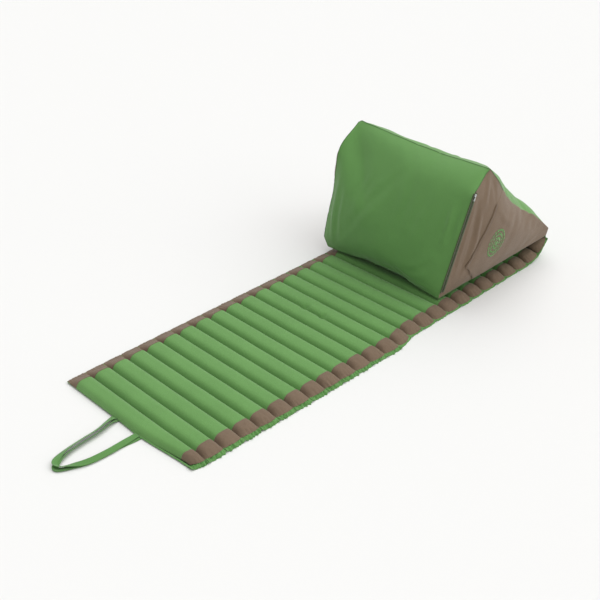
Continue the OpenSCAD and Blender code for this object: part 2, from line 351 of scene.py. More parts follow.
# The zip tape's dark olive is partly its own colour and partly painted shade: the band along the zip
# lies in the shade of the front edge.
zip_cloth_shaded = fabric("zip_tape_olive_shaded", (0.060, 0.084, 0.028), "yz", thread=0.7 * MM)
zip_plastic = plain("zip_coil_plastic", (0.026, 0.036, 0.014), 0.45)
zip_metal = plain("zip_metal", (0.78, 0.79, 0.80), 0.24, metal=1.0)
bladder_material = plain("bladder_film", (0.33, 0.37, 0.38), 0.35, coat=0.3)
valve_plastic = plain("valve_plastic", (0.78, 0.78, 0.73), 0.3, coat=0.4)

# ---- The mat ----

SLEEVE_X = HALF_W - SLEEVE
TACKS = (-64 * MM, 22 * MM)


def across_channel(count):
    """Steps from 0 to 1, closer together at both seams."""
    return (1 - np.cos(np.linspace(0, np.pi, count))) / 2


TOP_U = across_channel(22)
END_U = across_channel(34)


def seam_wander(x):
    """How far a channel's middle and the stitches beside it wander from straight."""
    return 0.9 * MM * ripple(x, 0 * x, 0.13, 5)


def fullness(x, y, k):
    return 1 + 0.03 * ripple(x, y + k * PITCH, 0.3, 1)


def crown(u, full):
    """Height of a channel's top at u, from 0 at its foot-side seam to 1 at its head-side seam."""
    return SEAM_Z + (CROWN_Z - SEAM_Z - 2.0 * MM) * full * (1 - abs(2 * u - 1) ** 4)


def tack_dip(x, u, k):
    """The dimples round the bar tacks on the last folding seam."""
    if k not in (ROLLING, ROLLING + 1):
        return 0 * x
    depth, width = 10 * MM, 11 * MM
    far = (1 - u if k == ROLLING else u) * PITCH
    near = np.exp(-(((far - 5 * MM) / width) ** 2))
    crimp = 1 + 0.5 * np.cos(2 * np.pi * x / (7 * MM))
    return sum(-depth * near * crimp * np.exp(-(((x - at) / width) ** 2)) for at in TACKS)


def pucker(x, u, k):
    """Small creases that run off the seams, strongest at the seam."""
    near = np.exp(-u * PITCH / (7 * MM)), np.exp(-(1 - u) * PITCH / (7 * MM))
    at_seam = smooth(np.minimum(u, 1 - u) * PITCH / (3 * MM))
    low = near[0] * ripple(x, 0 * x, 0.021, 20 + k)
    high = near[1] * ripple(x, 0 * x, 0.021, 21 + k)
    return 0.55 * MM * (low + high) * at_seam


def top_sheet(k):
    """The cover of channel k between its sleeves, with a rim that tucks under them."""
    tucked = SLEEVE_X + 3 * MM
    x, u = np.meshgrid(np.linspace(-tucked, tucked, 126), TOP_U, indexing="ij")
    full = fullness(x, u * PITCH, k) - 0.02
    y = u * PITCH + seam_wander(x) * (1 - abs(2 * u - 1) ** 2)
    z = crown(u, full) + pucker(x, u, k) + tack_dip(x, u, k) * np.sin(np.pi * u) ** 0.5
    return stacked(x, y, np.maximum(z, SEAM_Z)), grid_faces(*x.shape)


def gather(u, seed):
    """Folds of a gathered end, about eight across a channel."""
    return ripple(u * PITCH, 0 * u, 8.5 * MM, seed, 5)


def ruffle(k):
    """How much ground fabric shows past channel k's sleeves: little by the backrest."""
    return float(np.interp(k, [0, 9, 13, 14, 26], [1, 1, 0.7, 0.25, 0.15]))


def end_line(u, k, side):
    """Where a sleeve's end is sewn to the ground fabric: how far out and how high."""
    roundness, drawn_in, lift = (0.55, 11 * MM, 6 * MM) if side > 0 else (0.3, 3 * MM, 0)
    belly = np.sin(np.pi * u) ** roundness
    out = HALF_W + 3 * MM - drawn_in * (1 - belly) + 0.9 * MM * gather(u, 300 + 2 * k + side)
    high = SEAM_Z - 2 * MM * (1 - ruffle(k)) + lift * ruffle(k) * belly
    return out, high + 0.6 * MM * gather(u, 400 + 2 * k + side)


def sleeve(k, side):
    """A sleeve, from its tucked rim to its gathered end: round at the right, flatter at the left."""
    s, u = np.meshgrid(np.r_[-0.03, 0, np.linspace(0.03, 1, 20)], END_U, indexing="ij")
    seed = 2 * k + side
    out, high = end_line(u, k, side)
    ahead = np.clip(s, 0, 1)
    x = SLEEVE_X + (out - SLEEVE_X) * ahead**0.9
    top = crown(u, fullness(side * x, u * PITCH, k)) + 0.6 * MM
    fade = smooth((s - 0.35) / 0.65)
    mound, off_middle = np.sin(np.pi * u), abs(2 * u - 1)
    profile = np.cos(np.pi / 2 * ahead**1.6) if side > 0 else (1 - ahead) ** 1.2
    folds = (2.6 if side > 0 else 1.5) * MM
    z = high + (top - high) * profile
    z = z + folds * fade * (1 - 0.4 * fade) * gather(u, 500 + seed) * mound
    if side > 0:
        z = z - 8 * MM * fade * (1 - fade) * off_middle**2 * 4 * (1 - off_middle)
    z = z + 0.7 * MM * ripple(x, u * PITCH, 0.018, 600 + seed) * smooth(s * 3) * mound
    z = np.where(s < 0, z - 1.6 * MM, z)
    x = np.where(s < 0, SLEEVE_X + 0.4 * MM, x)
    faces = grid_faces(*x.shape)
    return stacked(side * x, u * PITCH, z), faces if side > 0 else flipped(faces)


def sleeves(k):
    return joined([sleeve(k, 1), sleeve(k, -1)])


def underside(u):
    """Height of a channel's underside, which rises to its seams."""
    edge = np.minimum(u, 1 - u) * PITCH / (12 * MM)
    return SEAM_Z * (1 - smooth(edge)) + 0.15 * MM


def hem_rows(k, side):
    """The hem of channel k, row by row from the sleeve's end down to the underside."""
    u, seed = END_U, 2 * k + side
    out, high = end_line(u, k, side)
    wide = ruffle(k) * (side > 0)
    wavy = 1.6 * MM * ripple(u * PITCH + k * PITCH, 0 * u, 0.09, 900 + side)
    rim = HALF_W + 3.8 * MM + (HEM - 0.3 * MM) * wide + wavy if side > 0 else out - 1.5 * MM
    rows = []
    for t in np.linspace(0, 1, 10):
        depth = (0.6 + 11 * wide * np.sin(np.pi * t * 0.96)) * MM
        crinkle = depth * gather(u + 0.07 * t, 700 + seed)
        x = out + (rim - out) * smooth(t * 1.1) + crinkle * np.sin(np.pi * u) ** 0.3
        z = high * (1 - t) + (underside(u) + 0.4 * MM) * t
        z = z + 5.0 * MM * wide * gather(u, 800 + seed) * np.sin(np.pi * t)
        rows.append((side * x, z))
    return rows + [(side * (HALF_W - d) + 0 * u, underside(u)) for d in (0, 10 * MM)]


def ground(k):
    """The ground fabric of channel k: its underside, and its crinkled hems up to the sleeves."""
    inner = HALF_W - 20 * MM
    middle = [(x + 0 * END_U, underside(END_U)) for x in np.linspace(inner, -inner, 14)]
    lines = hem_rows(k, 1) + middle + hem_rows(k, -1)[::-1]
    x, z = (np.array(rows) for rows in zip(*lines))
    z = np.maximum(z, 0.2 * MM)
    y = np.broadcast_to(END_U * PITCH, x.shape)
    return stacked(x, y, z), flipped(grid_faces(*x.shape))


def stuffing(k):
    """The filling of channel k, a little inside its cover."""
    left, right = SLEEVE_X + 8 * MM, HALF_W - 14 * MM
    x = np.r_[np.linspace(-left, -left + 20 * MM, 6), np.linspace(-left + 34 * MM, right, 28)]
    x, turn = np.meshgrid(x, circle(24), indexing="ij")
    tacked = k in (ROLLING, ROLLING + 1)
    off = (PITCH / 2 - (17 if tacked else 7) * MM) * np.cos(turn)
    u = 0.5 + off / PITCH
    high, low = crown(u, 0.88), underside(u) + 1.2 * MM
    mid = (high + low) / 2
    reach = np.where(x < 0, left, right) + 1 * MM
    tip = np.sqrt(np.clip(1 - (abs(x) / reach) ** 8, 0.02, 1))
    z = mid + (high - low) / 2 * np.sign(np.sin(turn)) * abs(np.sin(turn)) ** 0.6 * tip
    return stacked(x, u * PITCH, z), flipped(capped(*x.shape))


def seam_stitches():
    """The stitches of a channel's head-side seam."""
    x = np.linspace(-SLEEVE_X, SLEEVE_X, 60)
    return stitches(np.column_stack([x, PITCH + seam_wander(x), SEAM_Z + 1.0 * MM + 0 * x]))


def turned_seam(i):
    """The seam before the i-th turned-up channel, as (y, z)."""
    y, z = FOOT + (ROLLING + HEAD_FLAT) * PITCH, SEAM_Z
    for up in TURN_UPS[:i]:
        y, z = y + PITCH * math.cos(math.radians(up)), z + PITCH * math.sin(math.radians(up))
    return y, z


def pulled(verts, share):
    """Channel 1 is drawn in at its right end, where its foot edge runs back from the corner."""
    x, y = verts[:, :2].copy().T
    near = 1 - np.clip(y / PITCH, 0, 1)
    verts[:, 1] += share * 25 * MM * smooth((x - 30 * MM) / (275 * MM)) * near
    verts[:, 0] -= 12 * MM * smooth((x - 180 * MM) / (130 * MM)) * near**1.5
    lip = (1 - share) * smooth(x / (60 * MM)) * (y < 1e-6)
    verts[:, 1] -= 12 * MM * lip
    verts[:, 2] -= 6 * MM * lip
    return verts


def edge_wander(x, y):
    """The mat's right side runs a little out between its foot and the backrest."""
    far = (y - FOOT) / MM
    out = np.interp(far, [0, 200, 420, 700, 890, 925, 975, 1200], [0, 1, 7, 12, 16, 12, -1, 0])
    return out * MM * smooth(x / (300 * MM))


def placed(part, k, share=1.0):
    """A channel's part, drawn from its foot-side seam at 0, moved to channel k."""
    verts, faces = part
    verts = verts.copy()
    if k == 1:
        verts = pulled(verts, share)
    turned = k - ROLLING - HEAD_FLAT - 1
    if turned < 0:
        verts[:, 1] += FOOT + (k - 1) * PITCH
        verts[:, 0] += edge_wander(verts[:, 0], verts[:, 1])
        return verts, faces
    up = math.radians(TURN_UPS[turned])
    y0, z0 = turned_seam(turned)
    y, z = verts[:, 1].copy(), verts[:, 2] - SEAM_Z
    verts[:, 1] = y0 + y * math.cos(up) - z * math.sin(up)
    verts[:, 2] = z0 + y * math.sin(up) + z * math.cos(up)
    return verts, faces


def channel_pieces(name, ks, body, cads):
    """The cover, sleeves, ground fabric, filling and thread of some channels."""
    plans = (
        ("top", top_sheet, 1.0, green_mat, cads[0], "cover_fabric", 0.5),
        ("sleeves", sleeves, 1.0, brown_sleeve_shaded, cads[1], "end_sleeve_fabric", 0.5),
        ("ground", ground, 0.75, green_ground, None, "ground_fabric", 0.2),
        ("filling", stuffing, 1.0, filling_white, cads[2], "filling", 0.5),
    )
    made = {}
    for kind, drawn, share, material, cad, slot, fill in plans:
        parts = [placed(drawn(k), k, share) for k in ks]
        made[kind] = fitting(f"{name}_{kind}", parts, material, cad, slot, body)
    parts = [placed(seam_stitches(), k) for k in ks]
    fitting(f"{name}_seam_thread", parts, thread_green, None, "thread", body)
    return made


for k in range(1, ROLLING + 1):
    two = f"{k:02d}"
    cads = (f"cover_{two}", f"end_sleeves_{two}", f"filling_{two}")
    channel_pieces(f"channel_{two}", [k], f"channel_{two}", cads)
head_ks = range(ROLLING + 1, ROLLING + HEAD_FLAT + 3)
cads = ("head_cover", "head_end_sleeves", "head_fillings")
head = channel_pieces("head", head_ks, "head_section", cads)
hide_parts("ground_sheet")

# ---- The backrest's cover, blown up by cloth simulation ----

STEP = 8.5 * MM
FRONT_LOW = np.array([287, 34]) * MM
REAR_LOW = np.array([866, 88]) * MM
REAR_HIGH = np.array([870, 118]) * MM
RIDGE = np.array([448, 497]) * MM
SHOULDER = np.array([344, 428]) * MM
LEFT_X = -303 * MM
RIGHT_X = 306 * MM
EDGE_AHEAD = 9.5 * MM
CLOTH_FRAMES = 24
CLOTH_PRESSURE = 2.5
CLOTH_GROWTH = 0.012
SIDE_PASSES = 20
FRONT_PASSES = 14
POCKET = np.array([(600, 460), (476, 362), (386, 140), (486, 20), (900, 60), (900, 118)]) * MM
POCKET_OPENING = np.array([(476, 362), (386, 140), (456, 56)]) * MM
POCKET_TOP = np.array([(521, 397), (476, 362)]) * MM


def towards(a, b, d):
    return a + (b - a) / np.linalg.norm(b - a) * d


def even(points, step):
    """A line's points at even steps, all but its last."""
    points = np.asarray(points)
    far = lengths_along(points)
    at = np.linspace(0, far[-1], max(2, round(far[-1] / step)) + 1)[:-1]
    return np.column_stack([np.interp(at, far, points[:, i]) for i in range(2)])


def inside(points, polygon):
    """Which points lie inside a polygon."""
    hits = np.zeros(len(points), int)
    for p, q in zip(polygon, np.roll(polygon, -1, axis=0)):
        over = (p[1] > points[:, 1]) != (q[1] > points[:, 1])
        hit = p[0] + (q[0] - p[0]) * (points[:, 1] - p[1]) / (q[1] - p[1] or 1)
        hits += over & (points[:, 0] < hit)
    return hits % 2 == 1


def to_segment(points, a, b):
    """How far along the segment from a to b each point is, as a share, and how far from it."""
    t = np.clip((points - a) @ (b - a) / ((b - a) @ (b - a)), 0, 1)
    return t, np.linalg.norm(a + t[:, None] * (b - a) - points, axis=1)


def by_size(faces):
    """The faces as one array for each number of corners."""
    return [np.array([f for f in faces if len(f) == n]) for n in {len(f) for f in faces}]


def right_x(y, z):
    """The right side panel, which leans in towards the bottom of the zip and at the ridge."""
    lean = (zip_out[1] * (y - zip_top[1]) + zip_out[2] * (z - zip_top[2])) / zip_out[0]
    ridge = smooth((z - zip_top[2]) / (RIDGE[1] - zip_top[2]))
    return np.minimum(RIGHT_X - 10 * MM * ridge, zip_top[0] - lean)


def left_x(z):
    return LEFT_X + 9 * MM * smooth((z - 420 * MM) / (75 * MM))


def corner_y(z):
    """The right side's front edge: just ahead of the zip, then straight up to the ridge."""
    ahead = zip_top - EDGE_AHEAD * zip_across
    low = ahead[1] + (z - ahead[2]) * zip_up[1] / zip_up[2]
    high = ahead[1] + (z - ahead[2]) * (RIDGE[0] - ahead[1]) / (RIDGE[1] - ahead[2])
    return np.where(z < ahead[2], low, high)


def with_pocket_lines(inner, first):
    """Points of the right side, with the pocket's lines added to them as edges."""
    lines = []
    for line in (POCKET_OPENING[:2], POCKET_OPENING[1:], POCKET_TOP):
        marked = np.vstack([even(line, STEP), line[-1:]])
        apart = np.linalg.norm(inner[:, None] - marked[None], axis=2).min(axis=1)
        inner = inner[apart > 0.6 * STEP]
        lines.append(marked)
    first += len(inner)
    edges = []
    for marked in lines:
        edges += [(first + i, first + i + 1) for i in range(len(marked) - 1)]
        first += len(marked)
    return np.vstack([inner, *lines]), edges


def rest_mesh():
    """The cover before it is blown up, each face's panel, a ring's size, the last ring's start and
    each ring point's panel.
    """
    high, low = towards(SHOULDER, RIDGE, 40 * MM), towards(SHOULDER, FRONT_LOW, 60 * MM)
    t = np.linspace(0, 1, 8)[:, None]
    bend = (1 - t) ** 2 * high + 2 * t * (1 - t) * SHOULDER + t * t * low
    stretches = {
        "bottom": [FRONT_LOW, REAR_LOW],
        "heel": [REAR_LOW, REAR_HIGH],
        "back": [REAR_HIGH, RIDGE],
        "front": [RIDGE, *bend, FRONT_LOW],
    }
    ring, tags = [], []
    for tag, line in stretches.items():
        points = even(line, STEP)
        ring += list(points)
        tags += [tag] * len(points)
    ring = np.array(ring)
    front = np.array(tags) == "front"
    shift = np.where(front, corner_y(ring[:, 1]) - ring[:, 0], 0)
    count = len(ring)
    stations = np.linspace(0, 1, round((RIGHT_X - LEFT_X) / STEP) + 1)
    verts = []
    for s in stations:
        y = ring[:, 0] + shift * s**3
        x = left_x(ring[:, 1]) * (1 - s) + right_x(y, ring[:, 1]) * s
        verts.append(np.column_stack([x, y, ring[:, 1]]))
    faces = grid_faces(len(stations), count, closed=True)
    panels = tags * (len(stations) - 1)
    far_ring = (len(stations) - 1) * count
    start = len(stations) * count
    for side, edge in enumerate((ring, verts[-1][:, 1:])):
        inner, edges = inside_points(edge), []
        if side:
            inner, edges = with_pocket_lines(inner, count)
        points = [Vector(p) for p in np.vstack([edge, inner])]
        cut = delaunay_2d_cdt(points, edges, [list(range(count))], 1, 1e-7)
        spots = np.array([*map(tuple, cut[0])])
        inner = spots[count:]
        x = left_x(inner[:, 1]) if side == 0 else right_x(inner[:, 0], inner[:, 1])
        verts.append(np.column_stack([x, inner]))
        number = [i + side * far_ring for i in range(count)] + [start + i for i in range(len(inner))]
        start += len(inner)
        turn = 1 if side else -1
        faces += [tuple(number[i] for i in f)[::turn] for f in cut[2]]
        panels += [("left", "right")[side]] * len(cut[2])
    return np.vstack(verts), faces, panels, count, far_ring, tags


def inside_points(edge):
    """A triangular grid of points inside an outline, clear of its edge."""
    rows = np.arange(edge[:, 1].min(), edge[:, 1].max(), STEP * 0.866)
    columns = np.arange(edge[:, 0].min(), edge[:, 0].max(), STEP)
    spots = np.array([(y + (STEP / 2) * (i % 2), z) for i, z in enumerate(rows) for y in columns])
    nearest = np.full(len(spots), 1.0)
    for p, q in zip(edge, np.roll(edge, -1, axis=0)):
        nearest = np.minimum(nearest, to_segment(spots, p, q)[1])
    return spots[inside(spots, edge) & (nearest > 0.55 * STEP)]


def simulate(obj, held):
    """Blows a closed cloth up with air, with some of its points held."""
    obj.vertex_groups.new(name="held").add(held, 1.0, "REPLACE")
    modifier = obj.modifiers.new("cloth", "CLOTH")
    cloth = modifier.settings
    cloth.quality = 8
    cloth.mass = 0.2
    cloth.tension_stiffness = cloth.compression_stiffness = 40
    cloth.shear_stiffness = 10
    cloth.bending_stiffness = 0.4
    cloth.tension_damping = cloth.compression_damping = cloth.shear_damping = 8
    cloth.air_damping = 2
    cloth.vertex_group_mass = "held"
    cloth.use_pressure = True
    cloth.uniform_pressure_force = CLOTH_PRESSURE
    cloth.shrink_min = -CLOTH_GROWTH
    cloth.effector_weights.gravity = 0
    modifier.collision_settings.use_collision = False
    modifier.point_cache.frame_end = CLOTH_FRAMES
    for f in range(1, CLOTH_FRAMES + 1):
        bpy.context.scene.frame_set(f)
    shown = obj.evaluated_get(bpy.context.evaluated_depsgraph_get())
    moved = np.array([v.co for v in shown.to_mesh().vertices])
    obj.modifiers.remove(modifier)
    bpy.context.scene.frame_set(1)
    return moved


def soft_above(z, low):
    """z kept above low, easing off over the last 8 mm instead of stopping short."""
    gap, width = z - low, 8 * MM
    return low + np.where(gap < width, width * np.exp((gap - width) / width), gap)


def mat_top(y):
    """Height of the mat's crowns under the backrest."""
    at = [0, 770, 790, 812, 818, 824, 830, 845, 868]
    high = [28.6, 28.6, 37.2, 39, 50, 60, 66, 76.5, 79.5]
    return np.interp(y / MM, at, high) * MM


def normals_of(verts, faces):
    out = np.zeros_like(verts)
    for f in by_size(faces):
        n = np.cross(verts[f[:, 1]] - verts[f[:, 0]], verts[f[:, -1]] - verts[f[:, 0]])
        for i in range(f.shape[1]):
            np.add.at(out, f[:, i], n)
    return unit(out)


def crease(at, path, width, depth):
    """Height of a soft fold along a path: a ridge with a shallow valley on each side."""
    path = np.reshape(path, (-1, 2)) * MM
    nearest, share = np.full(len(at), 1.0), np.zeros(len(at))
    for n, (a, b) in enumerate(zip(path[:-1], path[1:])):
        t, far = to_segment(at, a, b)
        share = np.where(far < nearest, (n + t) / (len(path) - 1), share)
        nearest = np.minimum(nearest, far)
    d = nearest / (width * MM)
    taper = np.sin(np.pi * np.clip(share, 0.04, 0.96)) ** 0.7
    return depth * MM * taper * (np.exp(-(d**2)) - 0.5 * np.exp(-((d - 1.9) ** 2)))


# Folds on the panels, in millimetres: three points of the fold's path, its width and its height.
# The front's points are (x, z), the sides' (y, z) and the back's (x, y).
FRONT_CREASES = [
    (0, 415, -90, 300, -200, 140, 14, -2.2),
    (-262, 330, -276, 200, -268, 60, 9, 3.5),
    (-235, 300, -246, 190, -240, 90, 8, -3.0),
    (-60, 50, 10, 66, 60, 58, 6, 4.0),
    (40, 96, 90, 70, 130, 66, 6, -3.5),
    (130, 50, 170, 64, 205, 56, 6, 3.5),
    (246, 392, 238, 320, 226, 220, 9, 5.0),
    (272, 400, 262, 330, 250, 250, 7, -3.5),
    (60, 400, 62, 330, 48, 230, 15, -2.2),
    (170, 380, 130, 300, 110, 180, 15, 1.8),
    (-130, 380, -150, 310, -160, 250, 12, 1.5),
    (200, 160, 150, 110, 80, 90, 12, -2.5),
]
SIDE_CREASES = [
    (372, 408, 356, 250, 342, 100, 6.5, 3.0),
    (390, 400, 386, 260, 366, 80, 8, -3.2),
    (404, 360, 408, 240, 392, 130, 7, 3.5),
    (442, 478, 430, 430, 420, 360, 8, 2.0),
    (455, 470, 470, 420, 474, 370, 8, -1.5),
    (620, 300, 600, 220, 560, 120, 16, -1.2),
    (700, 230, 720, 170, 700, 110, 14, 1.0),
    (850, 110, 800, 120, 740, 100, 9, 1.2),
    (500, 330, 540, 280, 590, 250, 10, 2.0),
]
BACK_CREASES = [
    (-270, 800, -180, 720, -60, 700, 12, 3.5),
    (270, 800, 190, 730, 90, 690, 12, 3.5),
    (-250, 500, -160, 560, -90, 640, 12, -3.5),
    (250, 500, 190, 580, 110, 640, 12, 3.5),
    (0, 470, 12, 560, -8, 660, 14, -3.0),
    (120, 470, 110, 540, 130, 620, 10, 3.0),
]


def on_panels(faces, panels, names):
    """The faces of the panels of those names."""
    return [f for f, panel in zip(faces, panels) if panel in names]


def touched(count, faces):
    """Which of so many points are corners of those faces."""
    marks = np.zeros(count, bool)
    marks[[i for f in faces for i in f]] = True
    return marks


def creased(verts, faces, panels):
    """The blown-up cover with the folds that its seams and corners pull into it."""
    height = 0.5 * MM * ripple(verts[:, 0] + verts[:, 1], verts[:, 2] - verts[:, 1], 0.07, 40)
    plans = (
        ("front", (0, 2), FRONT_CREASES), ("right", (1, 2), SIDE_CREASES),
        ("left", (1, 2), SIDE_CREASES), ("back", (0, 1), BACK_CREASES),
    )
    for panel, axes, folds in plans:
        on_panel = touched(len(verts), on_panels(faces, panels, (panel,)))
        for *path, width, depth in folds:
            height += crease(verts[:, axes], path, width, depth) * on_panel
    near_zip = abs((verts - zip_top) @ zip_across) < 12 * MM
    near_zip &= (verts[:, 0] > 0.2) & (verts[:, 2] < zip_top[2] + 12 * MM)
    return verts + normals_of(verts, faces) * (height * ~near_zip)[:, None]


# The left front edge as (z, x), and how far the back sags, hollows in its middle and rises at its ends
# as (distance from the ridge, depth), all in millimetres.
LEFT_EDGE = [(24, -287), (66, -320), (152, -316), (257, -304), (354, -298), (424, -300), (497, -294)]
BACK_SAG = [(0, 0), (50, 7), (120, 17), (220, 24), (320, 15), (420, 3), (600, 0)]
BACK_HOLLOW = [(0, 0), (40, 4), (120, 3), (160, 9), (230, 18), (330, 13), (450, 3), (600, 0)]
BACK_EARS = [(0, 0), (30, 4), (80, 16), (180, 26), (260, 18), (360, 2), (600, 0)]


def ironed(verts, faces, panels, first):
    """The cover without its finest wrinkles, and its front without its sharp dents."""
    sides = on_panels(faces, panels, ("left", "right"))
    front = on_panels(faces, panels, ("front",))
    others = on_panels(faces, panels, set(panels) - {"front"})
    for _ in range(SIDE_PASSES):
        verts = averaged(verts, sides, first)
    inner = touched(len(verts), front) & ~touched(len(verts), others)
    for _ in range(FRONT_PASSES):
        verts = np.where(inner[:, None], averaged(verts, front), verts)
    return verts


def averaged(verts, faces, first=0):
    """Each point halfway to the middle of its neighbours, from the point numbered first on."""
    total, number = np.zeros_like(verts), np.zeros(len(verts))
    for f in by_size(faces):
        for i in range(f.shape[1]):
            np.add.at(total, f[:, i], verts[f[:, (i + 1) % f.shape[1]]])
            np.add.at(number, f[:, i], 1)
    free = (np.arange(len(verts)) >= first) & (number > 0)
    out = verts.copy()
    out[free] = 0.5 * verts[free] + 0.5 * total[free] / number[free, None]
    return out


def settled(moved, rest, count, tags):
    """The cover slackens behind its ridge, and its left front edge spreads on the mat."""
    slope = np.array([RIDGE[1] - REAR_HIGH[1], REAR_HIGH[0] - RIDGE[0]])
    slope = slope / np.linalg.norm(slope)
    from_ridge = (rest[:, 1:] - RIDGE) @ np.array([slope[1], -slope[0]])
    below = -(rest[:, 1:] - RIDGE) @ slope
    sag, hollow, ears = (
        np.interp(from_ridge / MM, *zip(*row)) * MM for row in (BACK_SAG, BACK_HOLLOW, BACK_EARS)
    )
    off_middle = abs(rest[:, 0]) / MM
    middle = 1 - np.clip(off_middle / 300, 0, 1) ** 5
    ends = smooth((off_middle - 100) / 130) * (1 - np.clip(off_middle / 304, 0, 1) ** 16)
    sag = sag * smooth(1 - below / (150 * MM)) + (hollow * middle - ears * ends) * (below < 1 * MM)
    moved = moved.copy()
    moved[:, 1:] -= sag[:, None] * slope
    edge = [i for i in range(count) if tags[i] == "front"]
    line = moved[edge][np.argsort(moved[edge][:, 2])]
    z = moved[:, 2]
    goal = np.interp(z / MM, *zip(*LEFT_EDGE)) * MM
    edge_x, edge_y = (np.interp(z, line[:, 2], line[:, i]) for i in (0, 1))
    far = np.hypot(moved[:, 0] - edge_x, moved[:, 1] - edge_y)
    moved[:, 0] += (goal - edge_x) * smooth(1 - far / (170 * MM))
    behind = (moved[:, 1] - edge_y) / MM
    puff = np.exp(-(((behind - 24) / 18) ** 2) - ((z / MM - 355) / 70) ** 4)
    left_side = rest[:, 0] < goal + 6 * MM
    moved[:, 0] -= 24 * MM * puff * left_side
    return moved


def blown_up():
    """The cover held at its seams and blown up, with the mesh it came from."""
    verts, faces, panels, count, far_ring, tags = rest_mesh()
    obj = piece("cover_cloth", verts, faces, green_mat)
    seam = {tag: tags.index(tag) for tag in dict.fromkeys(tags)}
    held = set(seam.values()) | {i for i in range(count) if tags[i] == "bottom"}
    held |= {far_ring + i for i in held}
    across = (verts - zip_top) @ zip_across
    beside = (verts[:, 0] > 0.2) & (abs(across) < 10.5 * MM) & (verts[:, 2] < zip_top[2] + 10 * MM)
    on_cap = np.arange(len(verts)) >= far_ring
    held |= {int(i) for i in np.nonzero(beside & on_cap)[0]}
    moved = simulate(obj, sorted(held))
    bpy.data.objects.remove(obj)
    moved = ironed(moved, faces, panels, far_ring + count)
    moved = settled(moved, verts, count, tags)
    moved = creased(moved, faces, panels)
    moved[:, 2] = soft_above(moved[:, 2], mat_top(moved[:, 1]) + 0.8 * MM)
    moved[:, 0] = soft_above(moved[:, 0], -332 * MM)
    return moved, verts, faces, panels, count, far_ring, seam


cover, cover_rest, cover_faces, cover_panels, RING, FAR_RING, SEAMS = blown_up()
cover_normals = normals_of(cover, cover_faces)
PANEL_LOOKS = (
    (("front",), "backrest_front", green_front, "front_panel", "cover_fabric"),
    (("back", "heel"), "backrest_back", green_back, "back_panel", "cover_fabric"),
    (("bottom",), "backrest_bottom", green_ground, "bottom_panel", "ground_fabric"),
    (("left",), "backrest_side_left", brown_side, "side_panel_left", "side_fabric"),
    (("right",), "backrest_side_right", brown_side, "side_panel_right", "side_fabric"),
)


def from_cover(name, chosen, lift, material):
    """Some of the cover's faces as a piece of their own, lifted off it."""
    used = sorted({i for f in chosen for i in f})
    number = {old: new for new, old in enumerate(used)}
    lift = np.broadcast_to(lift, len(cover))[used, None]
    verts = cover[used] + lift * cover_normals[used]
    made = piece(name, verts, [tuple(number[i] for i in f) for f in chosen], material)
    smoother = made.modifiers.new("smooth", "SUBSURF")
    smoother.levels = smoother.render_levels = 1
    smoother.boundary_smooth = "PRESERVE_CORNERS"
    return made


def thickened(made, thickness, offset):
    modifier = made.modifiers.new("thick", "SOLIDIFY")
    modifier.thickness = thickness
    modifier.offset = offset


for tags, name, material, cad, slot in PANEL_LOOKS:
    made = from_cover(name, on_panels(cover_faces, cover_panels, tags), 0, material)
    dressed(made, cad, slot)

# ---- Seams of the backrest ----


def cover_line(numbers):
    return cover[numbers] + 0.3 * MM * cover_normals[numbers]


def seam_lines():
    """The seams from side to side, and both sides' outlines but for the run along the zip."""
    stations = range(0, FAR_RING + RING, RING)
    lines = [cover_line([s + i for s in stations]) for i in SEAMS.values()]
    turn = [(SEAMS["bottom"] + i) % RING for i in range(RING + 1)]
    left, right = (cover_line([start + i for i in turn]) for start in (0, FAR_RING))
    ahead = (right - zip_top) @ zip_across
    by_zip = (abs(ahead + EDGE_AHEAD) < 3 * MM) & (right[:, 2] < zip_top[2] + 6 * MM)
    by_zip &= right[:, 2] > 40 * MM
    keep = np.nonzero(~by_zip)[0]
    runs = np.split(keep, np.nonzero(np.diff(keep) > 1)[0] + 1)
    return lines + [left] + [right[run] for run in runs if len(run) > 2]


# The cords along the seams are dark: painted shade of the seam grooves.
seam_tubes = [tube(line, 1.1 * MM, 6) for line in seam_lines()]
fitting("backrest_seams", seam_tubes, seam_cord_shaded, None, "cover_fabric")

# ---- Pocket and its embroidery ----

right_faces = on_panels(cover_faces, cover_panels, ("right",))
centres = np.array([cover_rest[list(f)][:, 1:].mean(axis=0) for f in right_faces])
pocket_faces = [f for f, ok in zip(right_faces, inside(centres, POCKET)) if ok]
top_way = (POCKET[0] - POCKET[1]) / np.linalg.norm(POCKET[0] - POCKET[1])
under_top = (cover_rest[:, 1:] - POCKET[1]) @ np.array([top_way[1], -top_way[0]])
pocket_lift = (0.4 + 1.8 * smooth(under_top / (30 * MM))) * MM
pocket = from_cover("pocket", pocket_faces, pocket_lift, brown_side)
thickened(pocket, 1.1 * MM, -1)
dressed(pocket, "pocket_panel", "side_fabric")
side_tree = BVHTree.FromPolygons([tuple(v) for v in cover], right_faces)


def on_side(rest, lift):
    """Points of the right side given at rest as (y, z), lifted off the blown-up cover."""
    out = []
    for y, z in rest:
        spot, normal, _, _ = side_tree.ray_cast(Vector((0.5, y, z)), Vector((-1, 0, 0)))
        if spot is None:
            spot, normal, _, _ = side_tree.find_nearest(Vector((0.3, y, z)))
        normal = normal if normal.x > 0 else -normal
        out.append(np.array(spot) + lift * np.array(normal))
    return np.array(out)


def left_of(line):
    """The direction to the left of a flat line at each point."""
    way = unit(np.gradient(line, axis=0))
    return np.column_stack([-way[:, 1], way[:, 0]])


def beside(line, d, lift):
    """A line on the right side, d mm to the left of the given one and lifted by so many mm."""
    return on_side(line + d * MM * left_of(line), lift * MM)


